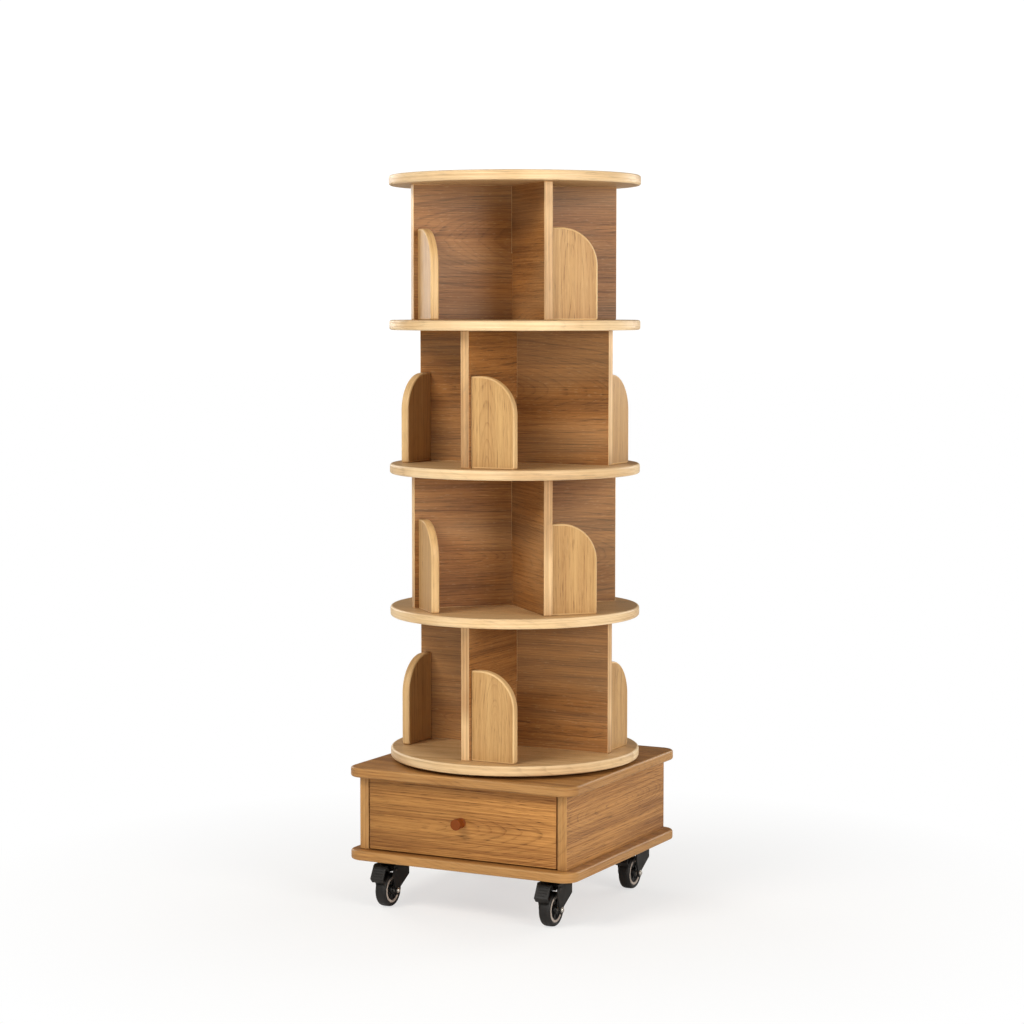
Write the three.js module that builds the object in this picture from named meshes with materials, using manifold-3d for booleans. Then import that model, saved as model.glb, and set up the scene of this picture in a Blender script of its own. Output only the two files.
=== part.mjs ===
// A rotating book rack: four round tiers that turn as one carousel on a square drawer cabinet
// with four braked swivel casters. Millimetres, +Z up, the origin on the floor under the centre,
// the drawer faces -Y.
import * as THREE from 'three';
import { mergeVertices } from 'three/addons/utils/BufferGeometryUtils.js';
import Module from 'manifold-3d';

const wasm = await Module();
wasm.setup();

// Driving dimensions.
const BOARD = 18;
const BOARD_EASE = 2;
const CLEARANCE = 0.3;

const CASTER_HEIGHT = 89;
const CASTER_SPREAD = 167;

const CABINET_WIDTH = 460;
const CABINET_CORNER = 30;
const BOX_WIDTH = 420;
const BOX_HEIGHT = 134.5;
const BACK_THICKNESS = 15;

const TURNTABLE_SIZE = 200;
const TURNTABLE_PLATE = 2;
const TURNTABLE_HEIGHT = 6;
const TURNTABLE_OPENING = 62;
const BALL_RACE = [78, 88];
const RACE_RISE = 0.7;

const SHELF_RADIUS = 230;
const SHELF_SIDES = 48;
const TIER_COUNT = 4;
const TIER_PITCH = 262.5;

const ARM_REACH = 195;
const ARM_THICKNESS = 16;
const STOP_REACH = 95;
const STOP_HEIGHT = 164;
const STOP_THICKNESS = 15;
const STOP_INSET = 8;
const STOP_ROUNDING = 68;

const DRAWER_GAP = 1.5;
const DRAWER_FRONT = 16;
const DRAWER_WALL = 12;
const DRAWER_DEPTH = 340;
const DRAWER_HEIGHT = 95;
const DRAWER_LIFT = 11.5;
const DRAWER_FLOOR = 5;
const FLOOR_GROOVE = 6;
const RUNNER_SPACE = 12.5;
const RUNNER_THICKNESS = 6;
const RUNNER_HEIGHT = 42;
const RUNNER_WALL = 1.5;
const RUNNER_SETBACK = 4;
const KNOB_LENGTH = 23;
const KNOB_RADIUS = 10;
const KNOB_EASE = 1.2;

const WHEEL_RADIUS = 31;
const WHEEL_WIDTH = 22;
const WHEEL_SIDES = 24;
const HUB_PROUD = 1.5;
const WEB_SUNK = 2.5;
const TRAIL = 16;
const AXLE_RADIUS = 4;
const AXLE_BOSS = 8.5;
const STEEL = 2.5;
const CASTER_PLATE = 60;
const PLATE_HOLE = 2.7;
const PLATE_HOLE_SPREAD = 22.5;
const UPPER_RACE = 23;
const LOWER_RACE = 21;
const KINGPIN = 4.5;
const KINGPIN_HEAD = 7;
const FORK_INSIDE = 28;
const FORK_FRONT = -31;
const FORK_BACK = 26;
const CROWN_TOP = 78.5;
const CROWN_THICKNESS = 3;
const PEDAL_HINGE = [-22, 70];
const PEDAL_PIN = 2;
const PEDAL_BARREL = 4.4;
const PEDAL_ARM_HALF = 12.5;
const PEDAL_HOOD_HALF = 13.5;

// Levels and faces worked out from them.
const PLATE_BOTTOM = CASTER_HEIGHT - STEEL;
const FORK_OUTSIDE = FORK_INSIDE / 2 + STEEL;
const CABINET_FLOOR = CASTER_HEIGHT + BOARD;
const CABINET_TOP = CABINET_FLOOR + BOX_HEIGHT + BOARD;
const CAROUSEL_BASE = CABINET_TOP + TURNTABLE_HEIGHT;
const TIER_HEIGHT = TIER_PITCH - BOARD;
const BOX_HALF = BOX_WIDTH / 2;
const OPENING_HALF = BOX_HALF - BOARD;

const SHELF_WOOD = { color: 0xd2a469, roughness: 0.45, metalness: 0 };
const STOP_WOOD = { color: 0xd9ab6c, roughness: 0.5, metalness: 0 };
const CABINET_WOOD = { color: 0xb98248, roughness: 0.45, metalness: 0 };
const INNER_WOOD = { color: 0xd8c3a0, roughness: 0.7, metalness: 0 };
const KNOB_WOOD = { color: 0x8c3f14, roughness: 0.35, metalness: 0 };
const ZINC = { color: 0xb4b7ba, roughness: 0.4, metalness: 0.9 };
const BLACK_STEEL = { color: 0x1a1918, roughness: 0.4, metalness: 0.6 };
const TYRE = { color: 0x161616, roughness: 0.6, metalness: 0 };

const rack = new THREE.Group();

// Adds a named mesh to a group.
function add(group, name, geometry, look, x = 0, y = 0, z = 0) {
  const mesh = new THREE.Mesh(geometry, new THREE.MeshStandardMaterial(look));
  mesh.name = name;
  mesh.position.set(x, y, z);
  group.add(mesh);
  return mesh;
}

// Closed mesh to solid and back, for joins and cuts.
function solid(geometry) {
  geometry.deleteAttribute('normal');
  geometry.deleteAttribute('uv');
  const merged = mergeVertices(geometry, 1e-4);
  const vertProperties = new Float32Array(merged.attributes.position.array);
  const triVerts = new Uint32Array(merged.index.array);
  return new wasm.Manifold(new wasm.Mesh({ numProp: 3, vertProperties, triVerts }));
}

function geometryOf(body) {
  const mesh = body.getMesh();
  const geometry = new THREE.BufferGeometry();
  geometry.setAttribute('position', new THREE.BufferAttribute(mesh.vertProperties, 3));
  geometry.setIndex(new THREE.BufferAttribute(mesh.triVerts, 1));
  return geometry;
}

// A box between two corners.
function block(low, high) {
  const size = high.map((value, i) => value - low[i]);
  const middle = high.map((value, i) => (value + low[i]) / 2);
  return new THREE.BoxGeometry(...size).translate(...middle);
}

// A cylinder along X or Z, from one end to the other.
function rod(axis, radius, start, end, across = [0, 0], sides = 16) {
  const geometry = new THREE.CylinderGeometry(radius, radius, end - start, sides);
  const middle = (start + end) / 2;
  if (axis === 'x') {
    return geometry.rotateZ(Math.PI / 2).translate(middle, across[0], across[1]);
  }
  return geometry.rotateX(Math.PI / 2).translate(across[0], across[1], middle);
}

// A flat outline, extruded up from z = 0.
function slab(shape, thickness, curveSegments = 5) {
  return new THREE.ExtrudeGeometry(shape, { depth: thickness, bevelEnabled: false, curveSegments });
}

// An outline drawn in Y and Z, extruded along X from a start to an end.
function sideProfile(shape, start, end) {
  const across = new THREE.Matrix4().makeBasis(
    new THREE.Vector3(0, 1, 0),
    new THREE.Vector3(0, 0, 1),
    new THREE.Vector3(1, 0, 0),
  );
  return slab(shape, end - start).applyMatrix4(across).translate(start, 0, 0);
}

function outline(points) {
  return new THREE.Shape(points.map(([x, y]) => new THREE.Vector2(x, y)));
}

function circle(x, y, radius) {
  return new THREE.Path().absarc(x, y, radius, 0, 2 * Math.PI, true);
}

function square(width) {
  const half = width / 2;
  return outline([[-half, -half], [half, -half], [half, half], [-half, half]]);
}

function roundedSquare(width, corner) {
  const inner = width / 2 - corner;
  const shape = new THREE.Shape();
  shape.absarc(inner, inner, corner, 0, Math.PI / 2);
  shape.absarc(-inner, inner, corner, Math.PI / 2, Math.PI);
  shape.absarc(-inner, -inner, corner, Math.PI, 1.5 * Math.PI);
  shape.absarc(inner, -inner, corner, 1.5 * Math.PI, 2 * Math.PI);
  return shape;
}

// A bent strip of even thickness along a polyline.
function strip(points, thickness) {
  const line = points.map(([x, y]) => new THREE.Vector2(x, y));
  const offset = (side) => line.map((point, i) => {
    const before = line[Math.max(i - 1, 0)];
    const after = line[Math.min(i + 1, line.length - 1)];
    const into = (i ? point.clone().sub(before) : after.clone().sub(point)).normalize();
    const out = (i < line.length - 1 ? after.clone().sub(point) : into.clone()).normalize();
    const mitre = new THREE.Vector2(-(into.y + out.y), into.x + out.x).normalize();
    const reach = thickness / 2 / (mitre.x * -into.y + mitre.y * into.x);
    return point.clone().addScaledVector(mitre, side * reach);
  });
  return new THREE.Shape([...offset(-1), ...offset(1).reverse()]);
}

// Round shelves, with their rims eased.
function shelf() {
  const profile = [
    [0, 0],
    [SHELF_RADIUS - BOARD_EASE, 0],
    [SHELF_RADIUS, BOARD_EASE],
    [SHELF_RADIUS, BOARD - BOARD_EASE],
    [SHELF_RADIUS - BOARD_EASE, BOARD],
    [0, BOARD],
  ];
  const points = profile.map(([r, z]) => new THREE.Vector2(r, z));
  return new THREE.LatheGeometry(points, SHELF_SIDES).rotateX(Math.PI / 2);
}

// One of the two boards of a tier's cross. Each has a slot over half its height, and the two
// slots face each other, so that the boards cross at right angles.
function divider(slotAtTop) {
  const slotHalf = ARM_THICKNESS / 2 + CLEARANCE;
  const slotEnd = TIER_HEIGHT / 2 - CLEARANCE / 2;
  const shape = outline([
    [-ARM_REACH, 0],
    [ARM_REACH, 0],
    [ARM_REACH, TIER_HEIGHT],
    [slotHalf, TIER_HEIGHT],
    [slotHalf, slotEnd],
    [-slotHalf, slotEnd],
    [-slotHalf, TIER_HEIGHT],
    [-ARM_REACH, TIER_HEIGHT],
  ]);
  const board = slab(shape, ARM_THICKNESS).translate(0, 0, -ARM_THICKNESS / 2);
  board.rotateX(Math.PI / 2);
  if (!slotAtTop) {
    board.rotateX(Math.PI).translate(0, 0, TIER_HEIGHT);
  }
  return board;
}

// A stop stands across the end of an arm that points along +X, and reaches towards +Y.
function bookStop() {
  const start = ARM_THICKNESS / 2 + CLEARANCE;
  const shape = new THREE.Shape();
  shape.moveTo(start, 0);
  shape.lineTo(STOP_REACH, 0);
  shape.absarc(STOP_REACH - STOP_ROUNDING, STOP_HEIGHT - STOP_ROUNDING, STOP_ROUNDING, 0, Math.PI / 2);
  shape.lineTo(start, STOP_HEIGHT);
  const outerFace = ARM_REACH - STOP_INSET;
  return sideProfile(shape, outerFace - STOP_THICKNESS, outerFace);
}

function tier(index) {
  const group = new THREE.Group();
  group.position.z = CAROUSEL_BASE + BOARD + index * TIER_PITCH;
  group.rotation.z = (index % 2) * Math.PI / 4;
  const name = `tier_${index + 1}`;
  add(group, `${name}_divider_a`, divider(true), SHELF_WOOD);
  const crossing = new THREE.Group();
  crossing.rotation.z = Math.PI / 2;
  add(crossing, `${name}_divider_b`, divider(false), SHELF_WOOD);
  group.add(crossing);
  for (let arm = 0; arm < 4; arm += 1) {
    const turned = new THREE.Group();
    turned.rotation.z = (arm - 1) * Math.PI / 2;
    add(turned, `${name}_book_stop_${arm + 1}`, bookStop(), STOP_WOOD);
    group.add(turned);
  }
  return group;
}

function carousel() {
  for (let index = 0; index <= TIER_COUNT; index += 1) {
    add(rack, `shelf_${index + 1}`, shelf(), SHELF_WOOD, 0, 0, CAROUSEL_BASE + index * TIER_PITCH);
  }
  for (let index = 0; index < TIER_COUNT; index += 1) {
    rack.add(tier(index));
  }
}

// The turntable: two pressed plates with a ball race between them. Each has a round opening in
// the middle and a raised ring for the balls.
function turntablePlate() {
  const [inner, outer] = BALL_RACE;
  const plate = square(TURNTABLE_SIZE);
  plate.holes.push(circle(0, 0, TURNTABLE_OPENING));
  const ring = new THREE.Shape().absarc(0, 0, outer, 0, 2 * Math.PI, false);
  ring.holes.push(circle(0, 0, inner));
  const raised = slab(ring, TURNTABLE_PLATE + RACE_RISE, 16);
  return geometryOf(solid(slab(plate, TURNTABLE_PLATE, 16)).add(solid(raised)));
}

function turntable() {
  add(rack, 'turntable_lower_plate', turntablePlate(), ZINC, 0, 0, CABINET_TOP);
  const upper = turntablePlate().rotateX(Math.PI);
  add(rack, 'turntable_upper_plate', upper, ZINC, 0, 0, CAROUSEL_BASE);
}

// The cabinet: two rounded boards, two sides and a back.
function cabinetBoard() {
  const shape = roundedSquare(CABINET_WIDTH - 2 * BOARD_EASE, CABINET_CORNER - BOARD_EASE);
  return new THREE.ExtrudeGeometry(shape, {
    depth: BOARD - 2 * BOARD_EASE,
    bevelThickness: BOARD_EASE,
    bevelSize: BOARD_EASE,
    bevelSegments: 1,
    curveSegments: 4,
  }).translate(0, 0, BOARD_EASE);
}

function cabinet() {
  const top = CABINET_FLOOR + BOX_HEIGHT;
  add(rack, 'cabinet_bottom_board', cabinetBoard(), CABINET_WOOD, 0, 0, CASTER_HEIGHT);
  add(rack, 'cabinet_top_board', cabinetBoard(), CABINET_WOOD, 0, 0, top);
  const left = block([-BOX_HALF, -BOX_HALF, CABINET_FLOOR], [-OPENING_HALF, BOX_HALF, top]);
  const right = block([OPENING_HALF, -BOX_HALF, CABINET_FLOOR], [BOX_HALF, BOX_HALF, top]);
  const backFace = BOX_HALF - BACK_THICKNESS;
  const back = block([-OPENING_HALF, backFace, CABINET_FLOOR], [OPENING_HALF, BOX_HALF, top]);
  add(rack, 'cabinet_side_left', left, CABINET_WOOD);
  add(rack, 'cabinet_side_right', right, CABINET_WOOD);
  add(rack, 'cabinet_back_panel', back, CABINET_WOOD);
}

// A drawer runner's cabinet member: a channel that opens towards the drawer.
function runner(side) {
  const half = RUNNER_HEIGHT / 2;
  const face = side * OPENING_HALF;
  const shape = outline([
    [0, -half],
    [RUNNER_THICKNESS, -half],
    [RUNNER_THICKNESS, -half + RUNNER_WALL],
    [RUNNER_WALL, -half + RUNNER_WALL],
    [RUNNER_WALL, half - RUNNER_WALL],
    [RUNNER_THICKNESS, half - RUNNER_WALL],
    [RUNNER_THICKNESS, half],
    [0, half],
  ]);
  const channel = slab(shape, DRAWER_DEPTH).rotateX(Math.PI / 2);
  if (side > 0) {
    channel.rotateZ(Math.PI);
  } else {
    channel.translate(0, DRAWER_DEPTH, 0);
  }
  const front = DRAWER_FRONT + RUNNER_SETBACK - BOX_HALF;
  return channel.translate(face, front, CABINET_FLOOR + DRAWER_LIFT + DRAWER_HEIGHT / 2);
}

// The drawer: a front inset between the cabinet boards, a box behind it and a turned knob.
function knob() {
  const r = KNOB_RADIUS;
  const profile = [
    [0, 0],
    [0.95 * r, 0],
    [0.93 * r, 3.5],
    [0.72 * r, 9],
    [0.72 * r, 11.5],
    [0.97 * r, 15],
    [r, 16.5],
    [r, KNOB_LENGTH - KNOB_EASE],
    [r - KNOB_EASE, KNOB_LENGTH],
    [0, KNOB_LENGTH],
  ];
  const points = profile.map(([x, z]) => new THREE.Vector2(x, z));
  return new THREE.LatheGeometry(points, 20).rotateX(Math.PI);
}

function drawer() {
  const frontHalf = OPENING_HALF - DRAWER_GAP;
  const frontFace = -BOX_HALF;
  const frontBack = frontFace + DRAWER_FRONT;
  const low = CABINET_FLOOR + DRAWER_GAP;
  const high = CABINET_FLOOR + BOX_HEIGHT - DRAWER_GAP;
  add(rack, 'drawer_front', block([-frontHalf, frontFace, low], [frontHalf, frontBack, high]), CABINET_WOOD);

  const outer = OPENING_HALF - RUNNER_SPACE;
  const inner = outer - DRAWER_WALL;
  const floor = CABINET_FLOOR + DRAWER_LIFT;
  const rim = floor + DRAWER_HEIGHT;
  const rear = frontBack + DRAWER_DEPTH;
  const left = block([-outer, frontBack, floor], [-inner, rear, rim]);
  const right = block([inner, frontBack, floor], [outer, rear, rim]);
  const back = block([-inner, rear - DRAWER_WALL, floor], [inner, rear, rim]);
  const panel = floor + FLOOR_GROOVE;
  const bottom = block([-inner, frontBack, panel], [inner, rear - DRAWER_WALL, panel + DRAWER_FLOOR]);
  add(rack, 'drawer_side_left', left, INNER_WOOD);
  add(rack, 'drawer_side_right', right, INNER_WOOD);
  add(rack, 'drawer_back', back, INNER_WOOD);
  add(rack, 'drawer_bottom', bottom, INNER_WOOD);
  add(rack, 'drawer_knob', knob(), KNOB_WOOD, 0, frontFace, (low + high) / 2);
  add(rack, 'runner_left', runner(-1), ZINC);
  add(rack, 'runner_right', runner(1), ZINC);
}

// A caster is drawn about its swivel axis with the floor at z = 0. The axle is TRAIL in front.
// The top plate carries the upper race and the kingpin, whose riveted head holds the fork.
function casterPlate() {
  const plate = square(CASTER_PLATE);
  for (const [x, y] of [[1, 1], [1, -1], [-1, 1], [-1, -1]]) {
    plate.holes.push(circle(x * PLATE_HOLE_SPREAD, y * PLATE_HOLE_SPREAD, PLATE_HOLE));
  }
  const raceTop = PLATE_BOTTOM + 1;
  const headTop = CROWN_TOP - CROWN_THICKNESS - 1;
  return geometryOf(solid(slab(plate, STEEL).translate(0, 0, PLATE_BOTTOM))
    .add(solid(rod('z', UPPER_RACE, PLATE_BOTTOM - 3, raceTop, [0, 0], 24)))
    .add(solid(rod('z', KINGPIN, headTop - 2, raceTop)))
    .add(solid(rod('z', KINGPIN_HEAD, headTop - 3, headTop))));
}

// The fork: a crown with the lower race, two legs that lean forward to the axle, the axle and
// the pedal's pin.
function forkLeg(side) {
  const shape = new THREE.Shape();
  shape.moveTo(FORK_BACK, CROWN_TOP);
  shape.lineTo(FORK_FRONT, CROWN_TOP);
  shape.lineTo(FORK_FRONT, 57);
  shape.lineTo(-TRAIL - AXLE_BOSS, WHEEL_RADIUS + 3);
  shape.absarc(-TRAIL, WHEEL_RADIUS, AXLE_BOSS, Math.PI * 0.9, Math.PI * 2.15);
  shape.lineTo(FORK_BACK, 54);
  const start = side > 0 ? FORK_INSIDE / 2 : -FORK_OUTSIDE;
  return sideProfile(shape, start, start + STEEL);
}

function casterFork() {
  const crownBottom = CROWN_TOP - CROWN_THICKNESS;
  const crown = block([-FORK_OUTSIDE, FORK_FRONT, crownBottom], [FORK_OUTSIDE, FORK_BACK, CROWN_TOP]);
  return geometryOf(solid(crown)
    .add(solid(rod('z', LOWER_RACE, CROWN_TOP - 2, CROWN_TOP + 4.5, [0, 0], 24)))
    .add(solid(forkLeg(-1)))
    .add(solid(forkLeg(1)))
    .add(solid(rod('x', AXLE_RADIUS, -FORK_OUTSIDE, FORK_OUTSIDE, [-TRAIL, WHEEL_RADIUS])))
    .add(solid(rod('x', PEDAL_PIN, -FORK_OUTSIDE, FORK_OUTSIDE, PEDAL_HINGE, 12)))
    .subtract(solid(rod('z', KINGPIN + 0.5, CROWN_TOP - 5, CROWN_TOP + 6))));
}

// The wheel: hub, web and a tyre with rounded shoulders, turned about X. The radius is to its
// flats, one of which stands on the floor.
function casterWheel() {
  const bore = AXLE_RADIUS + CLEARANCE;
  const half = WHEEL_WIDTH / 2;
  const r = WHEEL_RADIUS / Math.cos(Math.PI / WHEEL_SIDES);
  const side = [
    [bore, half + HUB_PROUD],
    [2 * AXLE_RADIUS, half + HUB_PROUD],
    [9.5, half - WEB_SUNK],
    [20.5, half - WEB_SUNK],
    [r - 3.5, half],
    [r, half - 4],
  ];
  const mirrored = side.map(([x, z]) => [x, -z]);
  const profile = [...mirrored, ...side.reverse(), mirrored[0]];
  const points = profile.map(([x, z]) => new THREE.Vector2(x, z));
  const wheel = new THREE.LatheGeometry(points, WHEEL_SIDES).rotateY(Math.PI / WHEEL_SIDES);
  return wheel.rotateZ(Math.PI / 2);
}

// The brake pedal: a bent steel hood on a barrel that turns on the fork's pin. Its front lip
// comes down on the tyre when the pedal is pressed.
function brakePedal() {
  const [y, z] = PEDAL_HINGE;
  const arm = strip([[y, z], [-35, z - 0.5], [-41, 79]], STEEL);
  const hood = strip([[-34.5, 69.5], [-41, 79], [-45, 79], [-57, 57], [-50, 49.5]], STEEL);
  const bore = rod('x', PEDAL_PIN + CLEARANCE, -FORK_OUTSIDE, FORK_OUTSIDE, PEDAL_HINGE, 12);
  return geometryOf(solid(sideProfile(arm, -PEDAL_ARM_HALF, PEDAL_ARM_HALF))
    .add(solid(sideProfile(hood, -PEDAL_HOOD_HALF, PEDAL_HOOD_HALF)))
    .add(solid(rod('x', PEDAL_BARREL, -PEDAL_ARM_HALF, PEDAL_ARM_HALF, PEDAL_HINGE, 16)))
    .subtract(solid(bore)));
}

function caster(name, sideX, sideY) {
  const group = new THREE.Group();
  group.position.set(sideX * CASTER_SPREAD, sideY * CASTER_SPREAD, 0);
  add(group, `${name}_plate`, casterPlate(), BLACK_STEEL);
  add(group, `${name}_fork`, casterFork(), BLACK_STEEL);
  add(group, `${name}_wheel`, casterWheel(), TYRE, 0, -TRAIL, WHEEL_RADIUS);
  add(group, `${name}_brake_pedal`, brakePedal(), BLACK_STEEL);
  rack.add(group);
}

carousel();
turntable();
cabinet();
drawer();
caster('caster_front_left', -1, -1);
caster('caster_front_right', 1, -1);
caster('caster_rear_left', -1, 1);
caster('caster_rear_right', 1, 1);

export default rack;
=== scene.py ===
"""The looks of the rotating book rack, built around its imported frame. Metres, +Z up."""
import math
import random

import bpy
from mathutils import Matrix, Vector


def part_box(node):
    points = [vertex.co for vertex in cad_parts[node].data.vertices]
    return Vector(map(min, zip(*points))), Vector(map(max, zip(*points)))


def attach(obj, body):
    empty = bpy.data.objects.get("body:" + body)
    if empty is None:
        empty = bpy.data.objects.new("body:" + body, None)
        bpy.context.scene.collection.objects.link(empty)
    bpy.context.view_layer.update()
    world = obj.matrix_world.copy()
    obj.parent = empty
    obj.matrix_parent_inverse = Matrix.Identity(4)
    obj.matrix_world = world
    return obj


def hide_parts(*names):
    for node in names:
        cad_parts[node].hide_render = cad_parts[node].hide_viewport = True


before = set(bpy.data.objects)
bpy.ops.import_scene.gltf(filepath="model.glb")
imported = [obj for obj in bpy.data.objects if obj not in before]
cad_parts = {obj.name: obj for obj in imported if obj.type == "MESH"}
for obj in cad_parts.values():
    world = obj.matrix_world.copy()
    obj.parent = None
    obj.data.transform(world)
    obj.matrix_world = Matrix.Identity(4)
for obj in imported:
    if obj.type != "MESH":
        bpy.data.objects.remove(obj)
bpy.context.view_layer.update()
chance = random.Random(23)

MM = 0.001
X, Y, Z = Vector((1, 0, 0)), Vector((0, 1, 0)), Vector((0, 0, 1))

# The camera stands in front and to the right, about level with the fourth shelf.
CAMERA_TURN = math.radians(27.32)
CAMERA_TILT = math.radians(4.608)
CAMERA_AWAY = 4.6802
CAMERA_ASIDE = -0.0053
CAMERA_HEIGHT = 1.0947
CAMERA_LENS = 89.43

ARM_COUNT = 4
TIER_COUNT = 4


# ---------------------------------------------------------------- places

def span(node):
    low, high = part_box(node)
    return Vector(low), Vector(high)


def place(origin, x_axis=X, y_axis=Y):
    """The matrix that puts a piece's own X and Y along two axes of the rack."""
    z_axis = x_axis.cross(y_axis)
    rotation = Matrix((x_axis, y_axis, z_axis)).transposed().to_4x4()
    return Matrix.Translation(origin) @ rotation


def turned_axis(axis, angle):
    return Matrix.Rotation(angle, 3, "Z") @ axis


# ---------------------------------------------------------------- outlines

def arc(x, y, radius, start, end, steps):
    """Points along an arc, in degrees, counter-clockwise."""
    angles = [math.radians(start + (end - start) * i / steps) for i in range(steps + 1)]
    return [(x + radius * math.cos(a), y + radius * math.sin(a)) for a in angles]


def rounded(points, radii, steps=4):
    """A counter-clockwise outline whose corners are rounded."""
    outline = []
    for i, point in enumerate(points):
        radius = radii[i] if isinstance(radii, (list, tuple)) else radii
        here = Vector(point)
        before = (Vector(points[i - 1]) - here).normalized()
        after = (Vector(points[(i + 1) % len(points)]) - here).normalized()
        if radius <= 0:
            outline.append(tuple(here))
            continue
        half = before.angle(after) / 2
        middle = (before + after).normalized()
        centre = here + middle * (radius / math.sin(half))
        first = here + before * (radius / math.tan(half)) - centre
        last = here + after * (radius / math.tan(half)) - centre
        turn = first.angle_signed(last)
        for step in range(steps + 1):
            swing = Matrix.Rotation(-turn * step / steps, 2)
            outline.append(tuple(centre + swing @ first))
    return outline


def rectangle(low, high, radii=0.0, steps=4):
    (x0, y0), (x1, y1) = low, high
    return rounded([(x0, y0), (x1, y0), (x1, y1), (x0, y1)], radii, steps)


def mitred(outline, inset):
    """The outline moved inwards."""
    moved = []
    for i, point in enumerate(outline):
        here = Vector(point)
        into = (here - Vector(outline[i - 1])).normalized()
        out = (Vector(outline[(i + 1) % len(outline)]) - here).normalized()
        inwards = Vector((-(into.y + out.y), into.x + out.x)).normalized()
        reach = inset / max(0.4, inwards.dot(Vector((-into.y, into.x))))
        moved.append(tuple(here + inwards * reach))
    return moved


def counter_clockwise(outline):
    """The outline, turned round if it runs clockwise."""
    pairs = zip(outline, outline[1:] + outline[:1])
    doubled_area = sum(a[0] * b[1] - b[0] * a[1] for a, b in pairs)
    return outline if doubled_area > 0 else outline[::-1]


def strip(points, thickness, radius=0.0):
    """The outline of a bent sheet of even thickness that follows a polyline."""
    line = [Vector(p) for p in points]
    sides = ([], [])
    for i, here in enumerate(line):
        into = (here - line[i - 1]).normalized() if i else (line[1] - here).normalized()
        out = (line[i + 1] - here).normalized() if i < len(line) - 1 else into
        normal = Vector((-(into.y + out.y), into.x + out.x)).normalized()
        reach = thickness / 2 / normal.dot(Vector((-into.y, into.x)))
        sides[0].append(tuple(here - normal * reach))
        sides[1].append(tuple(here + normal * reach))
    points = sides[0] + sides[1][::-1]
    return counter_clockwise(rounded(points, radius, 3) if radius else points)


# ---------------------------------------------------------------- meshes

def build(name, vertices, faces, material, matrix, grain=None, band=None, rounding=None):
    """A mesh object. grain, band and rounding hold one value per face corner."""
    mesh = bpy.data.meshes.new(name)
    mesh.from_pydata(vertices, [], faces)
    if grain is not None:
        layer = mesh.attributes.new("grain", "FLOAT_VECTOR", "CORNER")
        layer.data.foreach_set("vector", [c for corner in grain for c in corner])
        for attribute, values in (("band", band), ("rounding", rounding)):
            layer = mesh.attributes.new(attribute, "FLOAT", "CORNER")
            layer.data.foreach_set("value", values)
    mesh.transform(matrix)
    mesh.validate()
    mesh.polygons.foreach_set("use_smooth", [True] * len(mesh.polygons))
    mesh.materials.append(material)
    piece = bpy.data.objects.new(name, mesh)
    bpy.context.scene.collection.objects.link(piece)
    return piece


def even_normals(piece):
    """Keeps flat faces flat next to their rounded edges."""
    modifier = piece.modifiers.new("normals", "WEIGHTED_NORMAL")
    modifier.weight = 100
    modifier.keep_sharp = True
    return piece


def board(name, outline, thickness, matrix, material, ease=1.5 * MM, across=False, figure=None):
    """A flat piece with rounded edges, its outline in X and Y and its thickness along Z.

    The grain runs along X, or along Y if across. figure is where the heart of the log lies
    under the face, along and across the grain; without it the board is cut at random.
    """
    steps = 4
    turns = [math.radians(90 * i / steps) for i in range(steps + 1)]
    levels = [(ease * (1 - math.sin(a)), ease * (1 - math.cos(a))) for a in turns]
    levels += [(inset, thickness - z) for inset, z in reversed(levels)]
    vertices = []
    for inset, z in levels:
        vertices += [(x, y, z) for x, y in mitred(outline, inset)]
    count = len(outline)
    lengths = [0.0]
    for i in range(count):
        step = Vector(outline[(i + 1) % count]) - Vector(outline[i])
        lengths.append(lengths[-1] + step.length)

    heart = figure or (chance.uniform(-0.3, 0.5), chance.choice((-1, 1)) * chance.uniform(0.02, 0.2))
    seed = chance.uniform(0, 60)
    faces, grain, band, rounding = [], [], [], []

    def face_grain(index, shift):
        x, y = vertices[index][:2]
        along, over = (y, x) if across else (x, y)
        return along - heart[0], over - heart[1] + shift, seed + shift

    bottom = list(range(count))[::-1]
    top = list(range((len(levels) - 1) * count, len(levels) * count))
    for face, shift in ((bottom, 0.07), (top, 0.0)):
        faces.append(face)
        grain += [face_grain(i, shift) for i in face]
        band += [0.0] * len(face)
        rounding += [0.3] * len(face)
    for ring in range(len(levels) - 1):
        for i in range(count):
            after = (i + 1) % count
            low, high = ring * count, (ring + 1) * count
            faces.append([low + i, low + after, high + after, high + i])
            for length, level in ((i, ring), (i + 1, ring), (i + 1, ring + 1), (i, ring + 1)):
                grain.append((lengths[length] + 3, levels[level][1] + 0.13, seed + 5))
                band.append(1.0)
                inset = levels[level][0] / ease
                rounding.append(0.3 + 0.7 * (4 * inset * (1 - inset)))
    return even_normals(build(name, vertices, faces, material, matrix, grain, band, rounding))


def turned(name, profile, matrix, material, segments=64, sharp=40):
    """A piece turned about its own Z. The profile, in radius and height, ends on the axis or
    closes on itself."""
    closed = profile[0] == profile[-1]
    rows = profile[:-1] if closed else profile
    vertices, index = [], []
    for radius, height in rows:
        if radius < 1e-7:
            index.append([len(vertices)] * segments)
            vertices.append((0, 0, height))
            continue
        index.append([len(vertices) + i for i in range(segments)])
        for i in range(segments):
            angle = 2 * math.pi * i / segments
            vertices.append((radius * math.cos(angle), radius * math.sin(angle), height))
    faces = []
    pairs = list(zip(index, index[1:] + index[:1]))
    for low, high in pairs if closed else pairs[:-1]:
        for i in range(segments):
            after = (i + 1) % segments
            corners = [low[i], low[after], high[after], high[i]]
            face = list(dict.fromkeys(corners))
            if len(face) > 2:
                faces.append(face)
    piece = build(name, vertices, faces, material, matrix)
    piece.data.set_sharp_from_angle(angle=math.radians(sharp))
    return piece


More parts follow.
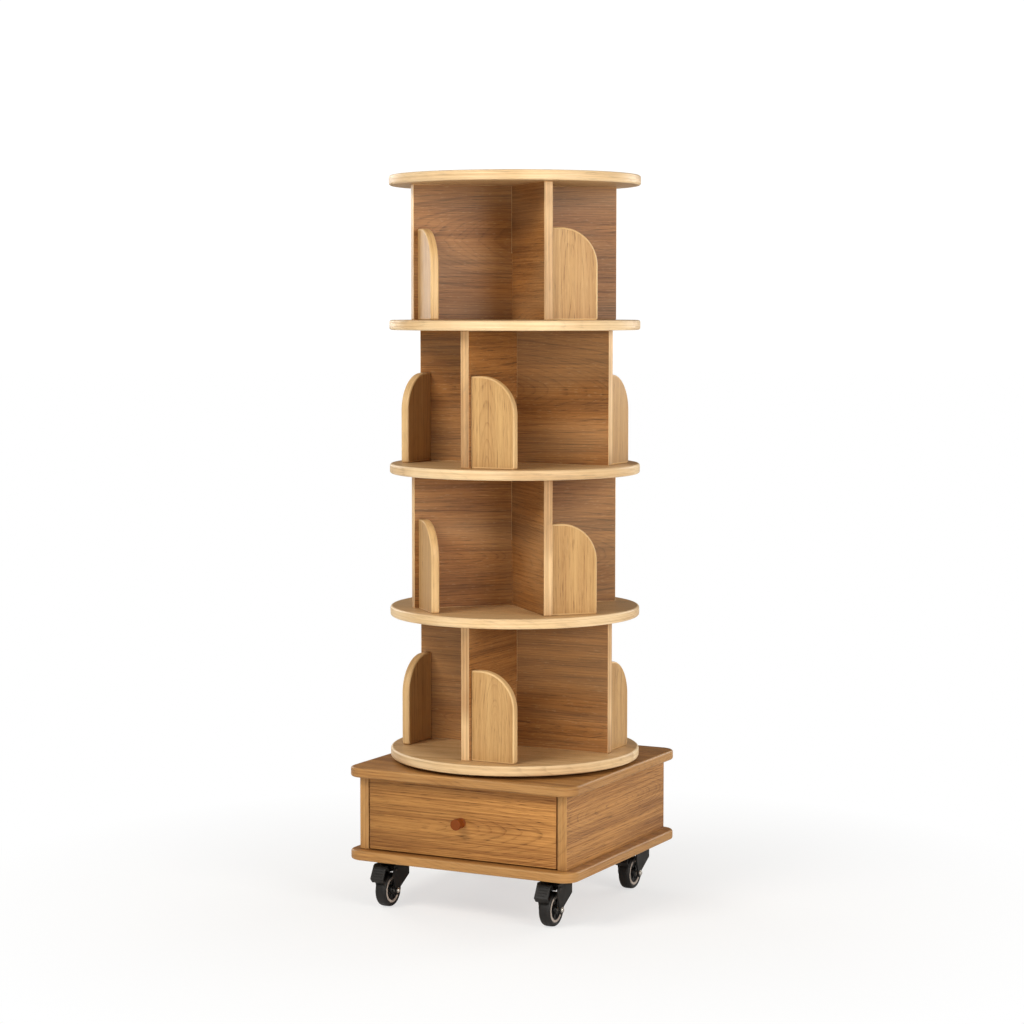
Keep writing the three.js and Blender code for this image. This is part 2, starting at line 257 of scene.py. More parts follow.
def joined(name, pieces):
    """Several meshes made into one piece, each with its place kept."""
    target = pieces[0]
    with bpy.context.temp_override(
        active_object=target, selected_objects=pieces, selected_editable_objects=pieces
    ):
        bpy.ops.object.join()
    target.name = name
    return target


def finish(piece, body, slot, *nodes):
    """The piece rides on a body and stands for CAD nodes, which are hidden. slot is not used."""
    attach(piece, body)
    if nodes:
        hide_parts(*nodes)


# ---------------------------------------------------------------- materials

def tone(red, green, blue):
    """A screen colour, 0 to 255, as linear light."""
    def linear(value):
        value /= 255
        return value / 12.92 if value <= 0.04045 else ((value + 0.055) / 1.055) ** 2.4
    return linear(red), linear(green), linear(blue), 1.0


class Graph:
    """A material's nodes."""

    def __init__(self, name):
        self.material = bpy.data.materials.new(name)
        self.material.use_nodes = True
        self.tree = self.material.node_tree
        self.shader = self.tree.nodes["Principled BSDF"]

    def node(self, kind, inputs, **settings):
        made = self.tree.nodes.new(kind)
        for key, value in settings.items():
            setattr(made, key, value)
        for key, value in inputs.items():
            self.feed(made.inputs[key], value)
        return made

    def feed(self, socket, value):
        if isinstance(value, bpy.types.NodeSocket):
            self.tree.links.new(value, socket)
        else:
            socket.default_value = value

    def attribute(self, name, output):
        return self.node("ShaderNodeAttribute", {}, attribute_name=name).outputs[output]

    def object_place(self):
        return self.node("ShaderNodeTexCoord", {}).outputs["Object"]

    def scaled(self, vector, scale):
        node = self.node("ShaderNodeVectorMath", {0: vector, 1: scale}, operation="MULTIPLY")
        return node.outputs["Vector"]

    def noise(self, vector, detail=2.0, roughness=0.5):
        inputs = {"Vector": vector, "Scale": 1.0, "Detail": detail, "Roughness": roughness}
        return self.node("ShaderNodeTexNoise", inputs).outputs["Fac"]

    def math(self, operation, first, second=0.0, clamp=False):
        node = self.node("ShaderNodeMath", {0: first, 1: second}, operation=operation)
        node.use_clamp = clamp
        return node.outputs["Value"]

    def spread(self, value, low, high, new_low=0.0, new_high=1.0):
        inputs = {
            "Value": value,
            "From Min": low,
            "From Max": high,
            "To Min": new_low,
            "To Max": new_high,
        }
        return self.node("ShaderNodeMapRange", inputs).outputs["Result"]

    def ramp(self, value, stops):
        """Greys between stops, each a position and a level."""
        node = self.node("ShaderNodeValToRGB", {"Fac": value})
        elements = node.color_ramp.elements
        while len(elements) < len(stops):
            elements.new(0.5)
        for element, (position, level) in zip(elements, stops):
            element.position = position
            element.color = (level, level, level, 1)
        return node.outputs["Color"]

    def mix(self, amount, first, second, blend="MIX"):
        node = self.node("ShaderNodeMix", {}, data_type="RGBA", blend_type=blend)
        colours = [socket for socket in node.inputs if socket.type == "RGBA"]
        self.feed(node.inputs["Factor"], amount)
        self.feed(colours[0], first)
        self.feed(colours[1], second)
        return next(socket for socket in node.outputs if socket.type == "RGBA")

    def bump(self, height, distance, strength=1.0):
        inputs = {"Height": height, "Distance": distance, "Strength": strength}
        self.feed(self.shader.inputs["Normal"], self.node("ShaderNodeBump", inputs).outputs["Normal"])

    def finish(self, colour, roughness, metallic=0.0, coat=0.0, coat_roughness=0.1, specular=0.5):
        self.feed(self.shader.inputs["Base Color"], colour)
        self.feed(self.shader.inputs["Roughness"], roughness)
        self.shader.inputs["Metallic"].default_value = metallic
        self.shader.inputs["Coat Weight"].default_value = coat
        self.shader.inputs["Coat Roughness"].default_value = coat_roughness
        self.shader.inputs["Specular IOR Level"].default_value = specular
        return self.material


# The log behind the oak's figure: its heart lies HEART_DEPTH under the face and sinks away
# from it by HEART_SLANT per metre along the grain.
HEART_SLANT = 0.11
HEART_DEPTH = 0.006
RINGS_PER_METRE = 230.0
YEARS_PER_METRE = 55.0
OAK_ROUGHNESS = (0.36, 0.54)
FRONT_LENGTH = 0.38


def oak(name, light, dark, pore, band, contrast, fade=None):
    """Oak veneer. Growth rings of a log whose heart runs at a slant under the face give
    straight grain away from the heart and arches over it. Open pores lie along the rings.

    band is the tone of the edges and of the worn places; the drawer front's dark band is a painted shadow
    for the gap round it. fade paints a light gradient: how bright the colour is at the start and at the
    end of a board, changing along its length."""
    g = Graph(name)
    grain = g.attribute("grain", "Vector")
    parts = g.node("ShaderNodeSeparateXYZ", {"Vector": grain})
    along, over = parts.outputs["X"], parts.outputs["Y"]

    drift = g.noise(g.scaled(grain, (1.3, 4.0, 1.0)), detail=1)
    wobble = g.noise(g.scaled(grain, (5.0, 30.0, 1.0)), detail=2)
    ripple = g.noise(g.scaled(grain, (26.0, 160.0, 1.0)), detail=1)
    depth = g.math("ADD", g.math("MULTIPLY", along, HEART_SLANT), HEART_DEPTH)
    reach = g.math("ADD", g.math("MULTIPLY", over, over), g.math("MULTIPLY", depth, depth))
    reach = g.math("ADD", g.math("SQRT", reach), g.math("MULTIPLY", drift, 0.10))
    reach = g.math("ADD", reach, g.math("MULTIPLY", wobble, 0.010))
    reach = g.math("ADD", reach, g.math("MULTIPLY", ripple, 0.0011))
    growth = {"W": reach, "Scale": YEARS_PER_METRE, "Detail": 2.0}
    years = g.node("ShaderNodeTexNoise", growth, noise_dimensions="1D").outputs["Fac"]
    reach = g.math("ADD", reach, g.math("MULTIPLY", years, 0.016))
    ring = g.math("FRACT", g.math("MULTIPLY", reach, RINGS_PER_METRE))
    rings = g.ramp(ring, [(0.0, 0.85), (0.07, 0.1), (0.6, 0.0), (0.88, 0.4), (1.0, 0.85)])

    streaks = g.noise(g.scaled(grain, (3.0, 300.0, 1.0)), detail=4, roughness=0.66)
    bands = g.noise(g.scaled(grain, (1.6, 42.0, 1.0)), detail=3, roughness=0.55)
    patches = g.noise(g.scaled(grain, (2.6, 8.0, 1.0)), detail=2)
    threads = g.noise(g.scaled(grain, (9.0, 620.0, 1.0)), detail=3, roughness=0.7)
    dashes = g.noise(g.scaled(grain, (30.0, 900.0, 1.0)), detail=2, roughness=0.6)
    fleck = g.noise(g.scaled(grain, (90.0, 420.0, 1.0)), detail=1)

    figure = g.math("MULTIPLY", rings, g.spread(patches, 0.35, 0.65, 0.12, 0.42))
    figure = g.math("MULTIPLY", figure, g.spread(years, 0.35, 0.65, 0.55, 1.3))
    figure = g.math("ADD", figure, g.spread(streaks, 0.36, 0.66, -0.08, 0.42))
    figure = g.math("ADD", figure, g.spread(threads, 0.42, 0.62, -0.06, 0.26))
    figure = g.math("ADD", figure, g.spread(bands, 0.35, 0.65, -0.1, 0.3))
    figure = g.math("MULTIPLY", figure, contrast, clamp=True)
    colour = g.mix(figure, tone(*light), tone(*dark))
    pores = g.spread(dashes, 0.52, 0.66, 0.0, 0.85)
    pores = g.math("MULTIPLY", pores, g.spread(g.math("ADD", rings, streaks), 0.4, 1.1, 0.15, 1.0))
    colour = g.mix(pores, colour, tone(*pore))
    pale = g.math("MULTIPLY", g.spread(fleck, 0.6, 0.75, 0.0, 0.1), g.spread(rings, 0.6, 0.0))
    colour = g.mix(pale, colour, tone(*band))

    stretches = g.spread(g.noise(g.scaled(grain, (8.0, 2.0, 1.0)), detail=1), 0.36, 0.6, 0.45, 1.0)
    banded = g.math("MULTIPLY", g.spread(streaks, 0.35, 0.65, 0.8, 0.4), stretches)
    banded = g.math("MULTIPLY", g.attribute("band", "Fac"), banded)
    colour = g.mix(banded, colour, tone(*band))
    worn = g.math("MULTIPLY", g.attribute("rounding", "Fac"), g.spread(patches, 0.4, 0.6, 0.1, 0.45))
    colour = g.mix(worn, colour, tone(*band))

    # Painted light gradient: the colour is darker at the board's start and lighter at its end.
    if fade:
        painted_light_ramp = g.spread(along, 0.0, FRONT_LENGTH, *fade)
        colour = g.mix(1.0, colour, painted_light_ramp, blend="MULTIPLY")

    roughness = g.spread(streaks, 0.3, 0.7, *OAK_ROUGHNESS)
    height = g.math("SUBTRACT", g.math("MULTIPLY", streaks, 0.4), pores)
    g.bump(height, 0.12 * MM, 0.7)
    return g.finish(colour, roughness, coat=0.08, coat_roughness=0.22, specular=0.2)


def raw_wood():
    """Pale unvarnished wood of the drawer box."""
    g = Graph("pale_drawer_wood")
    grain = g.attribute("grain", "Vector")
    lines = g.noise(g.scaled(grain, (4.0, 170.0, 1.0)), detail=4, roughness=0.6)
    patches = g.noise(g.scaled(grain, (3.0, 12.0, 1.0)), detail=2)
    figure = g.math("ADD", g.spread(lines, 0.3, 0.7, 0.0, 0.6), g.spread(patches, 0.3, 0.7, 0.0, 0.4))
    colour = g.mix(figure, tone(226, 203, 168), tone(190, 156, 112))
    g.bump(lines, 0.15 * MM, 0.5)
    return g.finish(colour, g.spread(lines, 0.3, 0.7, 0.55, 0.75))


def cherry():
    """Red-brown turned wood of the knob, with its grain along the knob's axis."""
    g = Graph("cherry_knob")
    where = g.object_place()
    lines = g.noise(g.scaled(where, (900.0, 60.0, 900.0)), detail=3, roughness=0.6)
    cloud = g.noise(g.scaled(where, (140.0, 50.0, 140.0)), detail=2)
    parts = g.node("ShaderNodeSeparateXYZ", {"Vector": where})
    side = g.math("ADD", parts.outputs["X"], 0.03)
    drifted = g.math("ADD", side, g.math("MULTIPLY", cloud, 0.004))
    rings = g.math("FRACT", g.math("MULTIPLY", drifted, 620.0))
    figure = g.math("ADD", g.math("MULTIPLY", lines, 0.6), g.math("MULTIPLY", rings, 0.35))
    colour = g.mix(figure, tone(144, 72, 20), tone(82, 35, 8))
    g.bump(lines, 0.05 * MM, 0.4)
    return g.finish(colour, g.spread(cloud, 0.3, 0.7, 0.38, 0.5), specular=0.18)


def metal(name, colour, worn, roughness):
    """Plated or bare metal with fine scratches."""
    g = Graph(name)
    where = g.object_place()
    scratches = g.noise(g.scaled(where, (400.0, 400.0, 400.0)), detail=3, roughness=0.6)
    clouds = g.noise(g.scaled(where, (35.0, 35.0, 35.0)), detail=3)
    shade = g.mix(g.spread(clouds, 0.35, 0.65), tone(*colour), tone(*worn))
    g.bump(scratches, 0.03 * MM, 0.5)
    rough = g.spread(scratches, 0.3, 0.7, roughness - 0.07, roughness + 0.12)
    return g.finish(shade, rough, metallic=1.0)


def black_coat():
    """Satin black powder coat: orange-peel bumps and lighter rubbed edges."""
    g = Graph("black_powder_coat")
    where = g.object_place()
    peel = g.noise(g.scaled(where, (1300.0, 1300.0, 1300.0)), detail=2)
    clouds = g.noise(g.scaled(where, (60.0, 60.0, 60.0)), detail=3)
    edge = g.node("ShaderNodeNewGeometry", {}).outputs["Pointiness"]
    rubbed = g.math("MULTIPLY", g.spread(edge, 0.52, 0.6), g.spread(clouds, 0.4, 0.6, 0.2, 0.8))
    colour = g.mix(clouds, tone(9, 8, 8), tone(18, 16, 15))
    colour = g.mix(rubbed, colour, tone(60, 54, 50))
    g.bump(peel, 0.04 * MM, 0.6)
    return g.finish(colour, g.spread(clouds, 0.3, 0.7, 0.36, 0.5), specular=0.2)


def plastic(name, colour, worn, low, high):
    """Moulded plastic or rubber with a fine surface texture."""
    g = Graph(name)
    where = g.object_place()
    fine = g.noise(g.scaled(where, (900.0, 900.0, 900.0)), detail=2)
    clouds = g.noise(g.scaled(where, (55.0, 55.0, 55.0)), detail=4, roughness=0.6)
    shade = g.mix(g.spread(clouds, 0.35, 0.7), tone(*colour), tone(*worn))
    g.bump(fine, 0.04 * MM, 0.5)
    return g.finish(shade, g.spread(clouds, 0.3, 0.7, low, high), specular=0.35)


# Each oak: light and dark grain, open pores, edges.
SHELF_OAK = oak("honey_oak_shelves", (212, 174, 122), (164, 118, 69), (104, 66, 33), (242, 216, 174), 1.0)
# The dividers' oak is a darker copy of the shelves' oak: painted shade for the insides of the bays.
SHADED_DIVIDER_OAK = oak("oak_dividers_painted_shade", (158, 104, 51), (96, 54, 20), (48, 25, 8), (248, 212, 160), 1.1)
STOP_OAK = oak("honey_oak_stops", (194, 154, 99), (152, 106, 58), (104, 67, 32), (230, 196, 144), 0.9)
CABINET_OAK = oak("brown_oak_cabinet", (190, 136, 74), (116, 68, 28), (56, 28, 8), (178, 136, 85), 1.2)
# The drawer front's dark brown edges and roundings are a painted shadow for the gap round it; fade paints
# a light gradient, darker at its left and lighter at its right.
FRONT_OAK = oak(
    "brown_oak_drawer_front", (190, 136, 74), (116, 68, 28), (56, 28, 8), (92, 56, 26), 1.2,
    fade=(0.8, 1.15),
)
DRAWER_WOOD = raw_wood()
CHERRY = cherry()
BLACK_COAT = black_coat()
ZINC = metal("zinc_plate", (190, 192, 196), (160, 163, 168), 0.34)
BOLT_STEEL = metal("bolt_steel", (206, 202, 196), (176, 172, 166), 0.3)
BALL_STEEL = metal("ball_steel", (214, 215, 218), (196, 197, 200), 0.18)
RUBBER = plastic("black_tyre", (12, 11, 11), (26, 23, 22), 0.45, 0.62)
RIM_PLASTIC = plastic("grey_wheel_ring", (186, 174, 164), (150, 138, 130), 0.38, 0.5)
HUB_PLASTIC = plastic("black_hub", (10, 10, 10), (20, 19, 19), 0.35, 0.5)
CAGE_PLASTIC = plastic("white_ball_cage", (222, 222, 218), (204, 204, 200), 0.4, 0.55)
SCREW_BLACK = metal("black_screws", (44, 43, 42), (70, 68, 66), 0.35)


# ---------------------------------------------------------------- carousel

SHELF_EDGE = 4 * MM
STOP_EDGE = 3 * MM
ARM_EDGE = 1.0 * MM
ARM_CORNER = 2.4 * MM
STOP_CORNER = 4.5 * MM
STOP_ROUNDING = 68 * MM
SHELF_GRAIN_TURN = math.radians(8)


def shelves():
    grain_way = turned_axis(X, SHELF_GRAIN_TURN), turned_axis(Y, SHELF_GRAIN_TURN)
    for index in range(TIER_COUNT + 1):
        node = f"shelf_{index + 1}"
        low, high = span(node)
        radius = (high.x - low.x) / 2
        outline = arc(0, 0, radius, 0, 360, 192)[:-1]
        matrix = place(Vector((0, 0, low.z)), *grain_way)
        figure = (0.12 * index - 0.3, 0.05 - 0.03 * index)
        piece = board(
            f"{node}_board", outline, high.z - low.z, matrix, SHELF_OAK, SHELF_EDGE, figure=figure,
        )
        finish(piece, "carousel", "shelf_oak", node)


def tier_turn(index):
    """Every second tier is turned by half the angle between its arms."""
    return (index % 2) * math.pi / ARM_COUNT


def dividers():
    low, high = span("tier_1_divider_a")
    reach = high.x
    half = (high.y - low.y) / 2
    height = high.z - low.z
    middle = height / 2
    slotted = [
        (-reach, 0), (reach, 0), (reach, height), (half, height),
        (half, middle), (-half, middle), (-half, height), (-reach, height),
    ]
    corners = [ARM_CORNER, ARM_CORNER, ARM_CORNER, 0, 0, 0, 0, ARM_CORNER]
    for index in range(TIER_COUNT):
        floor = span(f"tier_{index + 1}_divider_a")[0].z
        for letter, turn, flip in (("a", 0.0, False), ("b", math.pi / 2, True)):
            node = f"tier_{index + 1}_divider_{letter}"
            points, radii = slotted, corners
            if flip:
                points = [(x, height - y) for x, y in reversed(slotted)]
                radii = corners[::-1]
            outline = rounded(points, radii, 3)
            direction = turned_axis(X, tier_turn(index) + turn)
            matrix = place(Vector((0, 0, floor)), direction, Z)
            matrix = matrix @ Matrix.Translation((0, 0, -half))
            # The dividers wear the oak with painted shade.
            piece = board(f"{node}_board", outline, 2 * half, matrix, SHADED_DIVIDER_OAK, ARM_EDGE)
            finish(piece, "carousel", "shelf_oak", node)


def book_stops():
    low, high = span("tier_1_book_stop_1")
    arm_half = span("tier_1_divider_a")[1].y
    reach = high.x
    height = high.z - low.z
    inner, outer = -high.y, -low.y
    outline = [(arm_half, 0), (reach - STOP_CORNER, 0)]
    outline += arc(reach - STOP_CORNER, STOP_CORNER, STOP_CORNER, -90, 0, 4)[1:]
    outline += arc(reach - STOP_ROUNDING, height - STOP_ROUNDING, STOP_ROUNDING, 0, 90, 28)
    outline += [(arm_half, height)]
    for index in range(TIER_COUNT):
        floor = span(f"tier_{index + 1}_book_stop_1")[0].z
        for arm in range(ARM_COUNT):
            node = f"tier_{index + 1}_book_stop_{arm + 1}"
            outwards = turned_axis(X, tier_turn(index) + (arm - 1) * math.pi / 2)
            sideways = turned_axis(Y, tier_turn(index) + (arm - 1) * math.pi / 2)
            matrix = place(outwards * inner + Z * floor, sideways, Z)
            figure = (chance.uniform(-0.12, 0.16), 0.05 + chance.uniform(-0.02, 0.02))
            piece = board(
                f"{node}_board", outline, outer - inner, matrix, STOP_OAK, STOP_EDGE,
                across=True, figure=figure,
            )
            finish(piece, "carousel", "stop_oak", node)


# ---------------------------------------------------------------- small fastenings

WOOD_SCREW = 4.8 * MM
SHEET_SCREW = 3.6 * MM
CONFIRMAT_PLACES = (78 * MM, 160 * MM)


def screw(where, down, radius, material, height=None, name="screw"):
    """A screw's round head with a recess. It stands out against down, the way it is driven."""
    height = height or radius * 0.45
    recess = radius * 0.42
    profile = [
        (0, height * 0.35), (recess, height * 0.35), (recess, height), (radius * 0.7, height),
        (radius * 0.93, height * 0.7), (radius, height * 0.25), (radius, 0), (0, 0),
    ]
    out = -down
    side = out.orthogonal().normalized()
    matrix = place(where, side, out.cross(side))
    return turned(name, profile[::-1], matrix, material, segments=24, sharp=35)


def confirmats():
    """Screws that go up through the second, third and fourth shelves into the arms of the tier on each.
    """
    for index in range(1, TIER_COUNT):
        low = span(f"shelf_{index + 1}")[0]
        heads = []
        for arm in range(ARM_COUNT):
            direction = turned_axis(X, tier_turn(index) + arm * math.pi / 2)
            for reach in CONFIRMAT_PLACES:
                where = direction * reach + Z * low.z
                heads.append(screw(where, Z, WOOD_SCREW, ZINC, 0.9 * MM))
        finish(joined(f"shelf_{index + 1}_screws", heads), "carousel", "zinc_steel")


# ---------------------------------------------------------------- turntable

TURNTABLE_SHEET = 2 * MM
TURNTABLE_HOLE = 62 * MM
TURNTABLE_CORNER = 8 * MM
SCREW_INSET = 14 * MM
RACE_HEIGHT = 0.65 * MM


def turntable():
    """Two square plates with a round hole, each with a grooved ring for the balls."""
    sheet = TURNTABLE_SHEET
    rise = sheet + RACE_HEIGHT
    race_profile = [
        (77 * MM, sheet - 0.1 * MM), (89 * MM, sheet - 0.1 * MM), (87.5 * MM, rise), (84.5 * MM, rise),
        (83.5 * MM, sheet + 0.1 * MM), (82.5 * MM, sheet + 0.1 * MM), (81.5 * MM, rise),
        (78.5 * MM, rise), (77 * MM, sheet - 0.1 * MM),
    ]
    for name, body, facing in (("lower", "cabinet", 1), ("upper", "carousel", -1)):
        node = f"turntable_{name}_plate"
        low, high = span(node)
        half = (high.x - low.x) / 2
        base = low.z if facing > 0 else high.z
        matrix = place(Vector((0, 0, base)), X, Y * facing)
        outline = rectangle((-half, -half), (half, half), TURNTABLE_CORNER, 6)
        plate = perforated(f"{node}_sheet", outline, TURNTABLE_HOLE, sheet, matrix, ZINC)
        race = turned(f"turntable_{name}_race", race_profile, matrix, ZINC, segments=96)
        finish(joined(f"turntable_{name}", [plate, race]), body, "zinc_steel", node)
        corner = half - SCREW_INSET
        heads = []
        for x in (-corner, corner):
            for y in (-corner, corner):
                down = -Z * facing
                where = Vector((x, y, base + facing * sheet))
                heads.append(screw(where, down, SHEET_SCREW, ZINC, 0.8 * MM))
        finish(joined(f"turntable_{name}_screws", heads), body, "zinc_steel")


BALL_COUNT = 36
BALL_CIRCLE = 83 * MM
BALL_RADIUS = 0.95 * MM
BALL_PLAY = 0.25 * MM
CAGE_HALF = 0.3 * MM
CAGE_RIM = 0.8 * MM
CAGE_BAR_HALF = 0.6 * MM


def bearing():
    """The balls between the turntable's plates, and the ladder-shaped ring that spaces them.

    It is made last, because its boards draw from chance after all the others."""
    middle = Z * ((span("turntable_lower_plate")[0].z + span("turntable_upper_plate")[1].z) / 2)
    profile = [(0, -BALL_RADIUS)]
    profile += arc(0, 0, BALL_RADIUS, -67.5, 67.5, 6)
    profile += [(0, BALL_RADIUS)]
    gap = BALL_RADIUS + BALL_PLAY
    bar_start, bar_end = BALL_CIRCLE - gap, BALL_CIRCLE + gap
    cage = []
    for inner, outer in ((bar_start - CAGE_RIM, bar_start), (bar_end, bar_end + CAGE_RIM)):
        section = [(inner, -CAGE_HALF), (outer, -CAGE_HALF), (outer, CAGE_HALF), (inner, CAGE_HALF)]
        section.append(section[0])
        cage.append(turned("cage_ring", section, place(middle), CAGE_PLASTIC, segments=144, sharp=35))
    balls = []
    step = 2 * math.pi / BALL_COUNT
    bar = rectangle((bar_start, -CAGE_BAR_HALF), (bar_end, CAGE_BAR_HALF))
    for index in range(BALL_COUNT):
        outwards = turned_axis(X, index * step)
        balls.append(turned("ball", profile, place(middle + outwards * BALL_CIRCLE), BALL_STEEL, 16, 180))
        turn = (index + 0.5) * step
        matrix = place(middle - Z * CAGE_HALF, turned_axis(X, turn), turned_axis(Y, turn))
        cage.append(board("cage_bar", bar, 2 * CAGE_HALF, matrix, CAGE_PLASTIC, 0.1 * MM))
    finish(joined("turntable_balls", balls), "cabinet", "zinc_steel")
    finish(joined("turntable_ball_cage", cage), "cabinet", "zinc_steel")


def perforated(name, outline, radius, thickness, matrix, material):
    """A flat plate with a round hole, whose points lie opposite those of the outline."""
    count = len(outline)
    angles = [math.atan2(y, x) for x, y in outline]
    inner = [(radius * math.cos(a), radius * math.sin(a)) for a in angles]
    rings = [(outline, 0), (outline, thickness), (inner, thickness), (inner, 0)]
    vertices = [(x, y, z) for points, z in rings for x, y in points]
    faces = []
    for ring in range(4):
        for i in range(count):
            after = (i + 1) % count
            low, high = ring * count, (ring + 1) % 4 * count
            faces.append([low + i, low + after, high + after, high + i])
    piece = build(name, vertices, faces, material, matrix)
    piece.data.set_sharp_from_angle(angle=math.radians(35))
    return piece


# ---------------------------------------------------------------- cabinet

CABINET_EDGE = 4 * MM
CABINET_CORNER = 30 * MM
SIDE_SCREWS = 150 * MM
BACK_SCREWS = 90 * MM
BACK_SCREW_INSET = 7.5 * MM


def cabinet():
    for name in ("bottom", "top"):
        node = f"cabinet_{name}_board"
        low, high = span(node)
        outline = rectangle(low.xy, high.xy, CABINET_CORNER, 16)
        matrix = place(Vector((0, 0, low.z)))
        figure = (-0.35, 0.12) if name == "top" else None
        piece = board(
            f"{node}_oak", outline, high.z - low.z, matrix, CABINET_OAK, CABINET_EDGE, figure=figure,
        )
        finish(piece, "cabinet", "cabinet_oak", node)
    for name in ("left", "right"):
        node = f"cabinet_side_{name}"
        low, high = span(node)
        outline = rectangle((low.y, 0), (high.y, high.z - low.z), 1.8 * MM, 2)
        matrix = place(Vector((low.x, 0, low.z)), Y, Z)
        piece = board(
            f"{node}_oak", outline, high.x - low.x, matrix, CABINET_OAK, 1.2 * MM, figure=(0.085, 0.087),
        )
        finish(piece, "cabinet", "cabinet_oak", node)
    low, high = span("cabinet_back_panel")
    outline = rectangle((-high.x, 0), (-low.x, high.z - low.z), 1.2 * MM, 2)
    matrix = place(Vector((0, low.y, low.z)), -X, Z)
    piece = board(
        "cabinet_back_oak", outline, high.y - low.y, matrix, CABINET_OAK, 0.8 * MM, figure=(0.2, 0.1),
    )
    finish(piece, "cabinet", "cabinet_oak", "cabinet_back_panel")
    underside()


def underside():
    """Screws that go up through the bottom board into the cabinet's sides and back."""
    low, high = span("cabinet_side_right")
    floor = span("cabinet_bottom_board")[0].z
    across = (low.x + high.x) / 2
    back = high.y - BACK_SCREW_INSET
    spots = [(x, y) for x in (-across, across) for y in (-SIDE_SCREWS, 0, SIDE_SCREWS)]
    spots += [(-BACK_SCREWS, back), (BACK_SCREWS, back)]
    heads = [screw(Vector((x, y, floor)), Z, WOOD_SCREW, ZINC, 0.8 * MM) for x, y in spots]
    finish(joined("cabinet_underside_screws", heads), "cabinet", "zinc_steel")


# ---------------------------------------------------------------- drawer

REVEAL = 0.6 * MM
KNOB_EASE = 1.2 * MM
RUNNER_WALL = 1.2 * MM
RUNNER_LIP = 3 * MM
RUNNER_PLAY = 2.2 * MM
MEMBER_INSET = 6 * MM


def drawer():
    low, high = span("drawer_front")
    reveal = Vector((REVEAL, REVEAL))
    outline = rectangle(low.xz + reveal, high.xz - reveal, 1.2 * MM, 2)
    matrix = place(Vector((0, high.y, 0)), X, Z)
    piece = board(
        "drawer_front_oak", outline, high.y - low.y, matrix, FRONT_OAK, 0.8 * MM, figure=(-0.19, 0.165),
    )
    finish(piece, "drawer", "cabinet_oak", "drawer_front")

    for node in ("drawer_side_left", "drawer_side_right"):
        low, high = span(node)
        outline = rectangle((low.y, 0), (high.y, high.z - low.z), 2.2 * MM, 2)
        matrix = place(Vector((low.x, 0, low.z)), Y, Z)
        piece = board(f"{node}_wood", outline, high.x - low.x, matrix, DRAWER_WOOD, 1.5 * MM)
        finish(piece, "drawer", "drawer_wood", node)
    low, high = span("drawer_back")
    outline = rectangle((low.x, 0), (high.x, high.z - low.z))
    matrix = place(Vector((0, high.y, low.z)), X, Z)
    piece = board("drawer_back_wood", outline, high.y - low.y, matrix, DRAWER_WOOD, 1.2 * MM)
    finish(piece, "drawer", "drawer_wood", "drawer_back")
    low, high = span("drawer_bottom")
    outline = rectangle(low.xy, high.xy)
    matrix = place(Vector((0, 0, low.z)))
    piece = board("drawer_bottom_wood", outline, high.z - low.z, matrix, DRAWER_WOOD, 0.3 * MM)
    finish(piece, "drawer", "drawer_wood", "drawer_bottom")
    knob()
    runners()


def knob():
    low, high = span("drawer_knob")
    radius = (high.x - low.x) / 2
    length = high.y - low.y
    centre = Vector((0, high.y, (low.z + high.z) / 2))
    foot, waist, head = 0.93 * radius, 0.72 * radius, 0.96 * radius
    quarter = [math.radians(15 * i) for i in range(7)]
    neck = [(waist + (foot - waist) * (1 - math.sin(a)), 3 * MM + 7 * MM * (1 - math.cos(a)))
            for a in quarter]
    flare = [(waist + (head - waist) * (1 - math.cos(a)), 10 * MM + 4.5 * MM * math.sin(a))
             for a in quarter]
    bead = arc(radius - KNOB_EASE, length - KNOB_EASE, KNOB_EASE, 0, 90, 5)
    profile = [(0, 0), (foot, 0)] + neck + flare[1:]
    profile += [(radius, 16 * MM)] + bead + [(0.6 * radius, length), (0, length)]
    piece = turned("drawer_knob_turned", profile, place(centre, X, Z), CHERRY, segments=72, sharp=50)
    finish(piece, "drawer", "knob_wood", "drawer_knob")
    inside = Vector((0, span("drawer_front")[1].y, centre.z))
    fixing = screw(inside, -Y, 4.5 * MM, BOLT_STEEL, 2.2 * MM, name="drawer_knob_screw")
    finish(fixing, "drawer", "zinc_steel")


def runners():
    """Ball runners: a cabinet member each side, and inside it a member on the drawer."""
    wall = RUNNER_WALL
    for name, side in (("left", -1), ("right", 1)):
        low, high = span(f"runner_{name}")
        half = (high.z - low.z) / 2
        middle = (low.z + high.z) / 2
        face = high.x if side > 0 else low.x
        depth = high.x - low.x
        web, mouth, edge = wall / 2, depth - wall / 2, half - wall / 2
        lips = [
            (mouth, RUNNER_LIP - half), (mouth, -edge), (web, -edge),
            (web, edge), (mouth, edge), (mouth, half - RUNNER_LIP),
        ]
        matrix = place(Vector((face, low.y if side > 0 else high.y, middle)), X * -side, Z)
        outline = strip(lips, wall)
        piece = board(f"runner_{name}_channel", outline, high.y - low.y, matrix, ZINC, 0.1 * MM)
        finish(piece, "cabinet", "zinc_steel", f"runner_{name}")

        outer = abs(span("drawer_side_right")[1].x)
        gap = abs(face) - outer
        inner_half = half - MEMBER_INSET
        tip = gap - RUNNER_PLAY
        member = [(tip, -inner_half), (web, -inner_half), (web, inner_half), (tip, inner_half)]
        outline = strip(member, wall)
        start = Vector((side * outer, high.y if side > 0 else low.y, middle))
        matrix = place(start, X * side, Z)
        length = high.y - low.y - MEMBER_INSET
        piece = board(f"drawer_runner_{name}", outline, length, matrix, ZINC, 0.1 * MM)
        finish(piece, "drawer", "zinc_steel")
        face_of_member = side * (outer + wall)
        spots = [Vector((face_of_member, low.y + share * length, middle)) for share in (0.08, 0.45, 0.9)]
        heads = [screw(spot, X * -side, SHEET_SCREW, BOLT_STEEL, 1.2 * MM) for spot in spots]
        finish(joined(f"drawer_runner_{name}_screws", heads), "drawer", "zinc_steel")


# ---------------------------------------------------------------- casters

